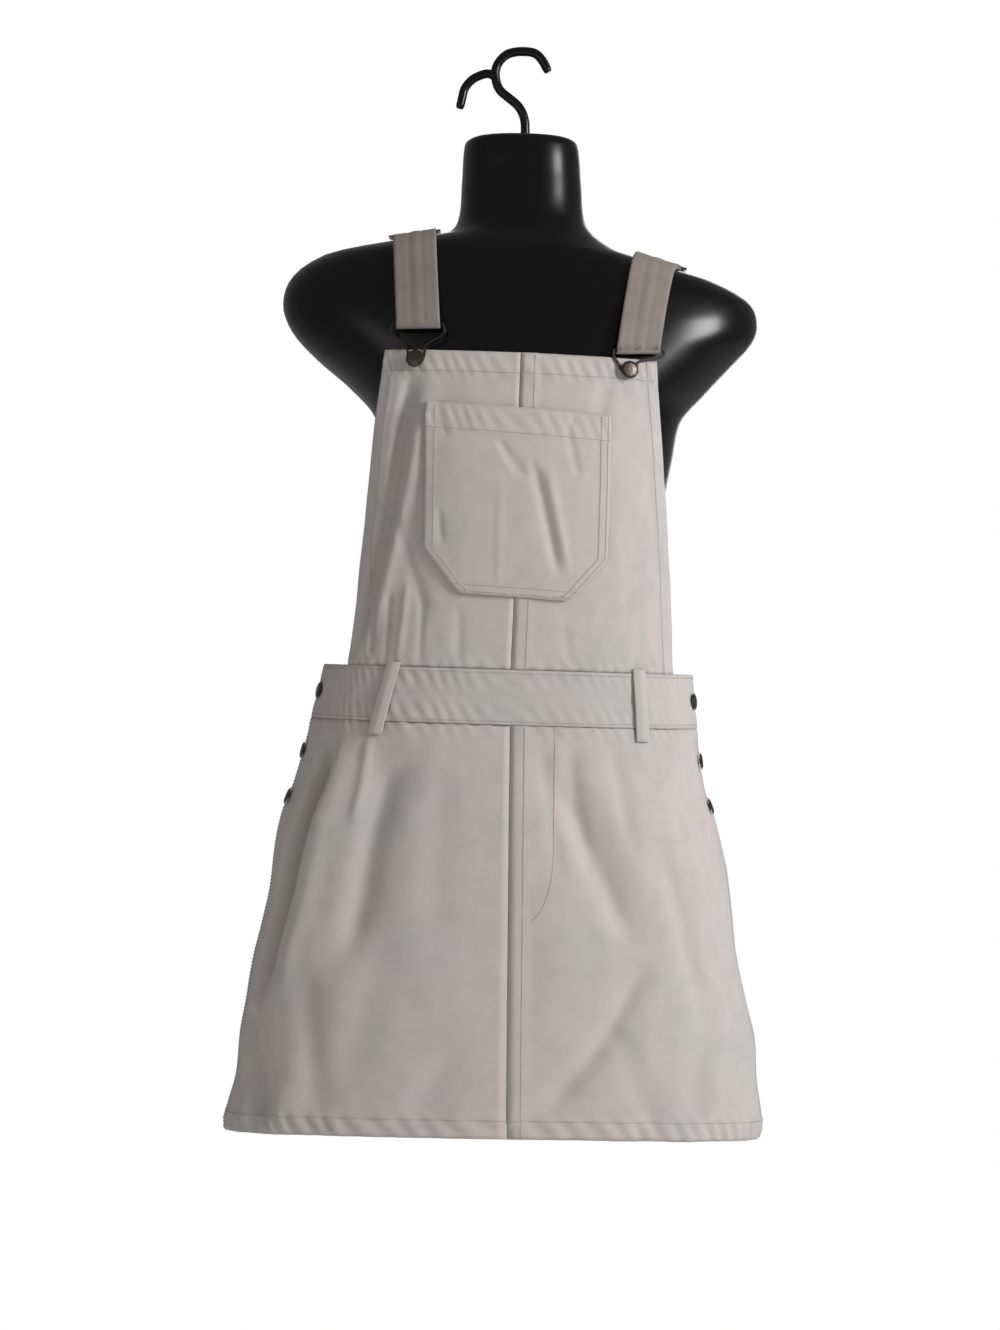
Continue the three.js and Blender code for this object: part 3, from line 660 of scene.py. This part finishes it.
def skirt_relief(at, turn):
    hem_line = HEM + HEM_DEPTH
    hem = 0.9 * smooth((hem_line - at) / 1.5)
    rope = roping(at, HEM + 9, turn, 9, 1.2, 17)
    waist = roping(at, BAND_BOTTOM, turn, 10, 0.7, 15)
    wave = 2.4 * smooth((hem_line + 60 - at) / 60) * noise.noise(Vector((turn / 11, 0, 2)))
    side = 0.8 * smooth((abs(abs(turn) - SIDE_TURN) * -ARC + 12) / 2)
    front = lap(at, turn) if abs(turn) < 30 else 0
    return rumple(at, turn, 44, 1.3) + hem + rope + waist + wave + side + front


SKIRT_STOPS = (BAND_BOTTOM - SEAM_GAP, HEM)


def back_seam(side):
    return lambda at: side * (180 - abs(turn_at(at, side * SPLIT)))


panel("skirt_front_left", SKIRT_STOPS, lambda at: -FRONT_SIDE, seam_turn(-1), 96, skirt_relief)
panel("skirt_front_right", SKIRT_STOPS, seam_turn(1), lambda at: FRONT_SIDE, 96, skirt_relief)
panel("skirt_back_left", SKIRT_STOPS, back_seam(-1), lambda at: -BACK_SIDE, 96, skirt_relief)
panel("skirt_back_right", SKIRT_STOPS, lambda at: BACK_SIDE, back_seam(1), 96, skirt_relief)

# ---- Belt loops ----
LOOP_HALF = 8.5
LOOP_TOP = BAND_TOP + 4
LOOP_BOTTOM = BAND_BOTTOM - 12
LOOP_OUT = BAND_OUT + 1.9
BELT_LOOPS = table(
    ("name", "turn", "lean"),
    (
        ("belt_loop_front_left", -33, -3),
        ("belt_loop_front_right", 38.5, 0),
        ("belt_loop_back_left", -142, 0),
        ("belt_loop_back_right", 142, 0),
    ),
)


def loop_turn(loop, side):
    def turn(at):
        share = (LOOP_TOP - at) / (LOOP_TOP - LOOP_BOTTOM)
        return loop["turn"] + loop["lean"] * share + side * LOOP_HALF / ARC
    return turn


def loop_relief(loop):
    def relief(at, turn):
        share = (LOOP_TOP - at) / (LOOP_TOP - LOOP_BOTTOM)
        centre = loop["turn"] + loop["lean"] * share
        ridge = 0.5 * math.cos((turn - centre) * ARC / LOOP_HALF * math.pi)
        return 2.2 * math.sin(math.pi * min(max(share, 0), 1)) + ridge
    return relief


for loop in BELT_LOOPS:
    panel(
        loop["name"], (LOOP_TOP, LOOP_BOTTOM), loop_turn(loop, -1), loop_turn(loop, 1), 10,
        loop_relief(loop), out=LOOP_OUT, skin=1.5, step=2.2,
    )

# ---- Straps ----
STRAP_WIDTH = 38
STRAP_CLOTH = 1.8
TURN_RADIUS = 2.3
RETURN_GAP = 0.5
STRAP_END = 11
ADJUSTER_AT = 8.4
STRAP_COLUMNS = 20
STRAP_STEP = 0.1
RETURN_STEP = 0.08
ADJUSTER_STEP = 84
TURN_DEGREES = 15
FORM_CORE = 5
FORM_REACH = 200


def inside_form(x, y, z):
    at = z
    for _ in range(3):
        at = z + column(FORM, "drop", at) * (x - column(FORM, "middle", at))
    if not FORM[-1]["at"] <= at <= FORM[0]["at"]:
        return False
    middle = column(FORM, "middle", at)
    half = middle - column(FORM, "left", at) if x < middle else column(FORM, "right", at) - middle
    depth = column(FORM, "front" if y < 0 else "back", at)
    return abs((x - middle) / half) ** SQUARENESS + abs(y / depth) ** SQUARENESS < 1


def strap_point(route, at, across, out=0):
    x = column(route, "x", at) + across
    level = column(route, "level", at)
    angle = math.radians(column(route, "angle", at))
    near, far = FORM_CORE, FORM_REACH
    for _ in range(16):
        middle = (near + far) / 2
        if inside_form(x, middle * math.sin(angle), level + middle * math.cos(angle)):
            near = middle
        else:
            far = middle
    reach = near + column(route, "off", at) + out
    return Vector((x, reach * math.sin(angle), level + reach * math.cos(angle)))


def strap_relief(share, at):
    """Folded edges, two stitched channels and a soft middle ridge. share: -1 to 1 across the strap."""
    edge_roll = 0.35 * math.exp(-(((abs(share) - 0.86) / 0.1) ** 2))
    channel = -0.45 * math.exp(-(((abs(share) - 0.3) / 0.07) ** 2))
    ridge = 0.5 * math.exp(-((share / 0.16) ** 2))
    return edge_roll + channel + ridge + 0.25 * noise.noise(Vector((share * 2, at * 3, 5)))


def strap(name, route):
    """A strap in one length: its outer face, its inner face and the fold round the buckle's bar."""
    shares = [2 * j / STRAP_COLUMNS - 1 for j in range(STRAP_COLUMNS + 1)]
    outer, inner = [], []

    def layer(at, facing, backing, relief_out=0, relief_in=0):
        front, back = [], []
        for share in shares:
            e = share * STRAP_WIDTH / 2
            bump = strap_relief(share, at)
            front.append(strap_point(route, at, e, facing + relief_out * bump) * MM)
            back.append(strap_point(route, at, e, backing + relief_in * bump) * MM)
        outer.append(front)
        inner.append(back)

    # Up to the bar, smooth where the return layer hides it; then round the bar, and back to the adjuster.
    for k in range(int(STRAP_END / STRAP_STEP) + 1):
        layer(k * STRAP_STEP, STRAP_CLOTH, 0, 0.6 if k < ADJUSTER_STEP else 0)
    along = strap_point(route, STRAP_END, 0, 6) - strap_point(route, STRAP_END - STRAP_STEP, 0, 6)
    side = strap_point(route, STRAP_END, 5, 6) - strap_point(route, STRAP_END, -5, 6)
    along.normalize()
    normal = side.normalized().cross(along).normalized()
    if normal.y > 0:
        normal.negate()
    for degrees in range(TURN_DEGREES, 180, TURN_DEGREES):
        angle = math.radians(degrees)
        ray = normal * -math.cos(angle) + along * math.sin(angle)
        front, back = [], []
        for share in shares:
            base = strap_point(route, STRAP_END, share * STRAP_WIDTH / 2, STRAP_CLOTH + TURN_RADIUS)
            front.append((base + ray * TURN_RADIUS) * MM)
            back.append((base + ray * (TURN_RADIUS + STRAP_CLOTH)) * MM)
        outer.append(front)
        inner.append(back)
    start, rest = STRAP_CLOTH + 2 * TURN_RADIUS, STRAP_CLOTH + RETURN_GAP
    steps = int((STRAP_END - ADJUSTER_AT - 0.25) / RETURN_STEP)
    for k in range(steps + 1):
        at = STRAP_END - k * RETURN_STEP
        facing = start + (rest - start) * smooth((STRAP_END - at) / 0.8)
        layer(at, facing, facing + STRAP_CLOTH, 0, 1)
    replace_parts(wall(name, outer, inner, STRAP), name)


for side, route in STRAP_ROUTES.items():
    strap(f"strap_{side}", route)


# ---- Form and hook, smooth ----
def loft(name, rings, look):
    sides = len(rings[0])
    vertices = [p for ring in rings for p in ring]
    faces = []
    for i in range(len(rings) - 1):
        for j in range(sides):
            a, b = i * sides + j, i * sides + (j + 1) % sides
            faces.append((a, a + sides, b + sides, b))
    faces.append(tuple(range(sides)))
    faces.append(tuple(reversed(range((len(rings) - 1) * sides, len(rings) * sides))))
    return piece(name, vertices, faces, look)


FORM_SIDES = 120


def torso():
    levels = [FORM[0]["at"] + 0.3]
    for above, below in zip(FORM, FORM[1:]):
        count = max(2, round((above["at"] - below["at"]) / 5))
        levels += [above["at"] + (below["at"] - above["at"]) * k / count for k in range(count)]
    levels.append(FORM[-1]["at"])
    rings = []
    for number, at in enumerate(levels):
        shrink = 0.94 if number in (0, len(levels) - 1) else 1
        centre = Vector((column(FORM, "middle", at), 0, at))
        ring = [ring_point(at, 360 * j / FORM_SIDES, FORM) for j in range(FORM_SIDES)]
        rings.append([(centre + (p - centre) * shrink) * MM for p in ring])
    thing = loft("form_body", rings, FORM_PLASTIC)
    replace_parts(thing, "form_torso")


def rod(name, points, radius):
    curve = bpy.data.curves.new(name, "CURVE")
    curve.dimensions = "3D"
    curve.bevel_depth = radius * MM
    curve.bevel_resolution = 6
    curve.resolution_u = 10
    curve.use_fill_caps = True
    spline = curve.splines.new("NURBS")
    spline.points.add(len(points) + 1)
    doubled = [points[0], *points, points[-1]]
    for knot, (x, z) in zip(spline.points, doubled):
        knot.co = (x * MM, 0, z * MM, 1)
    spline.use_endpoint_u = True
    spline.order_u = 3
    spline.points[-1].radius = 0.5
    thing = bpy.data.objects.new(name, curve)
    bpy.context.scene.collection.objects.link(thing)
    curve.materials.append(FORM_PLASTIC)
    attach(thing, "root")
    return thing


HOOK_RADIUS = 4.2
torso()
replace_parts(rod("hook_main", HOOK_MAIN, HOOK_RADIUS), "form_hook")
rod("hook_second", HOOK_BRANCH, HOOK_RADIUS * 0.96)

# ---- Underlaps of the side openings ----
SLIT_BOTTOM = -708
PLACKET_OUT = -3.2
for name, low, high in (("side_placket_left", -89.8, -82), ("side_placket_right", 82, 89.8)):
    panel(
        name, (BAND_BOTTOM - 3, SLIT_BOTTOM), lambda at, t=low: t, lambda at, t=high: t, 12,
        lambda at, turn: 0.2 * rumple(at, turn), out=PLACKET_OUT,
    )

# ---- Metal keeps its modelled shapes ----
for name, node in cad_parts.items():
    if not name.startswith(("button", "bib_button", "buckle", "adjuster")):
        continue
    node.data.materials.clear()
    node.data.materials.append(METAL)
    for polygon in node.data.polygons:
        polygon.use_smooth = not name.startswith("adjuster")


# ---- Stitching ----
def line_down(top, bottom, turn_of, out, skew=0, step=3.0, folds=FINE_FOLDS):
    points = []
    for at in heights((top, bottom), step):
        turn = turn_of(at)
        level = at - skew * ring_point(at, turn).x
        points.append(dress_point(level, turn, out(at, turn), folds))
    return points


def offset_turn(offset):
    return lambda at: turn_at(at, offset)


def on(relief, out=0.0):
    return lambda at, turn: relief(at, turn) + out + THREAD_OUT


def across_line(height, first, last, relief, out=0.0, skew=0, folds=FINE_FOLDS):
    count = max(2, int(abs(last - first) * ARC / 2))
    points = []
    for k in range(count + 1):
        turn = first + (last - first) * k / count
        level = height - skew * ring_point(height, turn).x
        points.append(dress_point(level, turn, relief(height, turn) + out + THREAD_OUT, folds))
    return points


bib_left_edge = bib_turn(-1)(BIB_TOP)
bib_right_edge = bib_turn(1)(BIB_TOP)
BAND_FRONT = (-88, 88)
BAND_BACK = (92, 268)
HEM_FRONT = (-89, 89)
HEM_BACK_LEFT = (-91, -179.6)
HEM_BACK_RIGHT = (91, 179.6)
STITCH_LINES = [
    ("stitch_bib_hem", across_line(BIB_TOP - BIB_HEM + 2, bib_left_edge, bib_right_edge, bib_relief)),
    ("stitch_band_top", across_line(BAND_TOP - 3, *BAND_FRONT, band_relief, BAND_OUT)),
    ("stitch_band_foot", across_line(BAND_BOTTOM + 3, *BAND_FRONT, band_relief, BAND_OUT)),
    ("stitch_back_band_top", across_line(BAND_TOP - 3, *BAND_BACK, band_relief, BAND_OUT)),
    ("stitch_back_band_foot", across_line(BAND_BOTTOM + 3, *BAND_BACK, band_relief, BAND_OUT)),
    ("stitch_hem_front", across_line(HEM + HEM_DEPTH - 2, *HEM_FRONT, skirt_relief)),
    ("stitch_hem_back_left", across_line(HEM + HEM_DEPTH - 2, *HEM_BACK_LEFT, skirt_relief)),
    ("stitch_hem_back_right", across_line(HEM + HEM_DEPTH - 2, *HEM_BACK_RIGHT, skirt_relief)),
]
for number, offset in enumerate((3, 12.5)):
    route = line_down(BIB_TOP - 2, BAND_TOP + 2, offset_turn(offset), on(bib_relief))
    STITCH_LINES.append((f"stitch_bib_seam_{number}", route))
    route = line_down(BAND_BOTTOM - 2, HEM + 2, offset_turn(offset), on(skirt_relief))
    STITCH_LINES.append((f"stitch_skirt_seam_{number}", route))
for name, side in (("left", -1), ("right", 1)):
    def bib_side(at, side=side):
        return turn_at(at, side * (column(BIB, "half", at) - 9))
    route = line_down(BIB_TOP - 2, BAND_TOP + 2, bib_side, on(bib_relief))
    STITCH_LINES.append((f"stitch_bib_side_{name}", route))
    for number, inset in enumerate((2.2, 8)):
        def pocket_side(at, side=side, inset=inset):
            return turn_at(at, side * (edge(POCKET, "half", at) - inset))
        lift = on(pocket_relief, POCKET_OUT)
        route = line_down(POCKET_TOP - 2, POCKET_FOOT + 4, pocket_side, lift, POCKET_SKEW, 3, POCKET_FOLDS)
        STITCH_LINES.append((f"stitch_pocket_{name}_{number}", route))
    for number, gap in enumerate((1.2, 3)):
        def skirt_side(at, side=side, gap=gap):
            return side * (SIDE_TURN - gap)
        route = line_down(BAND_BOTTOM - 2, HEM + 2, skirt_side, on(skirt_relief))
        STITCH_LINES.append((f"stitch_side_{name}_{number}", route))


def pocket_row(height, first, last):
    return across_line(height, first, last, pocket_relief, POCKET_OUT, POCKET_SKEW, POCKET_FOLDS)


POCKET_HEM_ROW = POCKET_HEM + 2
hem_row = pocket_row(POCKET_HEM_ROW, pocket_turn(-1)(POCKET_HEM_ROW), pocket_turn(1)(POCKET_HEM_ROW))
STITCH_LINES.append(("stitch_pocket_hem", hem_row))
for number, height in enumerate((POCKET_FOOT + 2.5, POCKET_FOOT + 8)):
    reach = edge(POCKET, "half", height) - 2
    row = pocket_row(height, turn_at(height, -reach), turn_at(height, reach))
    STITCH_LINES.append((f"stitch_pocket_foot_{number}", row))

FLY_BEND = -715
FLY_DEPTH = 62
FLY_FOOT = -776
FLY_NEAR = 15
FLY_REACH = 24


def fly_turn(at):
    """The false fly's row: straight down beside the seam, then curving in to meet it."""
    share = max(0, (FLY_BEND - at) / FLY_DEPTH)
    return turn_at(at, FLY_NEAR + FLY_REACH * math.sqrt(max(0, 1 - min(share, 1) ** 2)))


STITCH_LINES.append(("stitch_fly", line_down(BAND_BOTTOM - 2, FLY_FOOT, fly_turn, on(skirt_relief))))
for name, path in STITCH_LINES:
    thread(name, path)


# ---- Floor, lights, world and camera ----
CAMERA_X = -22.8 * MM
HORIZON = -554.8 * MM
DISTANCE = 2.1
VIEW_HEIGHT = 1.2116
FLOOR_DROP = 0.35
FLOOR_HALF = 6
FLOOR_Z = cad_box[0].z - FLOOR_DROP
SKY_STRENGTH = 0.25
# Area lamps: place, size, watts and the point each one faces.
LAMPS = table(
    ("name", "place", "size", "power", "aim"),
    (
        ("key", (1.9, -1.35, 0.25), (0.7, 0.9), 50, (0, 0, -0.55)),
        ("fill", (-1.2, -2.2, -0.3), (1.2, 1.2), 5, (0, 0, -0.55)),
        ("back", (0.4, 2.0, 0.2), (1.2, 1.2), 14, (0, 0, -0.5)),
    ),
)


def floor():
    """White to the camera, and a pale matt floor to every other ray."""
    half = FLOOR_HALF
    mesh = bpy.data.meshes.new("floor")
    mesh.from_pydata(
        [(-half, -half, FLOOR_Z), (half, -half, FLOOR_Z), (half, half, FLOOR_Z), (-half, half, FLOOR_Z)],
        [], [(0, 1, 2, 3)],
    )
    thing = bpy.data.objects.new("floor", mesh)
    bpy.context.scene.collection.objects.link(thing)
    made, nodes, links = material("floor")
    nodes["Principled BSDF"].inputs["Base Color"].default_value = (0.9, 0.9, 0.9, 1)
    nodes["Principled BSDF"].inputs["Roughness"].default_value = 0.9
    white = nodes.new("ShaderNodeEmission")
    white.inputs["Strength"].default_value = 1
    pick = nodes.new("ShaderNodeMixShader")
    ray = nodes.new("ShaderNodeLightPath")
    links.new(ray.outputs["Is Camera Ray"], pick.inputs[0])
    links.new(nodes["Principled BSDF"].outputs[0], pick.inputs[1])
    links.new(white.outputs[0], pick.inputs[2])
    links.new(pick.outputs[0], nodes["Material Output"].inputs["Surface"])
    mesh.materials.append(made)


def lamp(name, place, size, power, aim):
    data = bpy.data.lights.new(name, "AREA")
    data.shape = "RECTANGLE"
    data.size, data.size_y = size
    data.energy = power
    thing = bpy.data.objects.new(name, data)
    bpy.context.scene.collection.objects.link(thing)
    thing.location = place
    thing.rotation_euler = (Vector(aim) - Vector(place)).to_track_quat("-Z", "Y").to_euler()


def sky():
    """White to the camera, and a dim even light to every other ray."""
    world = bpy.data.worlds.new("world")
    bpy.context.scene.world = world
    world.use_nodes = True
    nodes, links = world.node_tree.nodes, world.node_tree.links
    light = nodes["Background"]
    light.inputs["Color"].default_value = (1, 1, 1, 1)
    light.inputs["Strength"].default_value = SKY_STRENGTH
    white = nodes.new("ShaderNodeBackground")
    white.inputs["Color"].default_value = (1, 1, 1, 1)
    white.inputs["Strength"].default_value = 1
    pick = nodes.new("ShaderNodeMixShader")
    ray = nodes.new("ShaderNodeLightPath")
    links.new(ray.outputs["Is Camera Ray"], pick.inputs[0])
    links.new(light.outputs[0], pick.inputs[1])
    links.new(white.outputs[0], pick.inputs[2])
    links.new(pick.outputs[0], nodes["World Output"].inputs["Surface"])


def camera():
    data = bpy.data.cameras.new("camera")
    data.sensor_fit = "VERTICAL"
    data.angle = 2 * math.atan(VIEW_HEIGHT / 2 / DISTANCE)
    thing = bpy.data.objects.new("camera", data)
    bpy.context.scene.collection.objects.link(thing)
    thing.location = (CAMERA_X, -DISTANCE, HORIZON)
    thing.rotation_euler = (math.pi / 2, 0, 0)
    bpy.context.scene.camera = thing


floor()
sky()
for row in LAMPS:
    lamp(**row)
camera()
bpy.context.scene.view_settings.view_transform = "Standard"
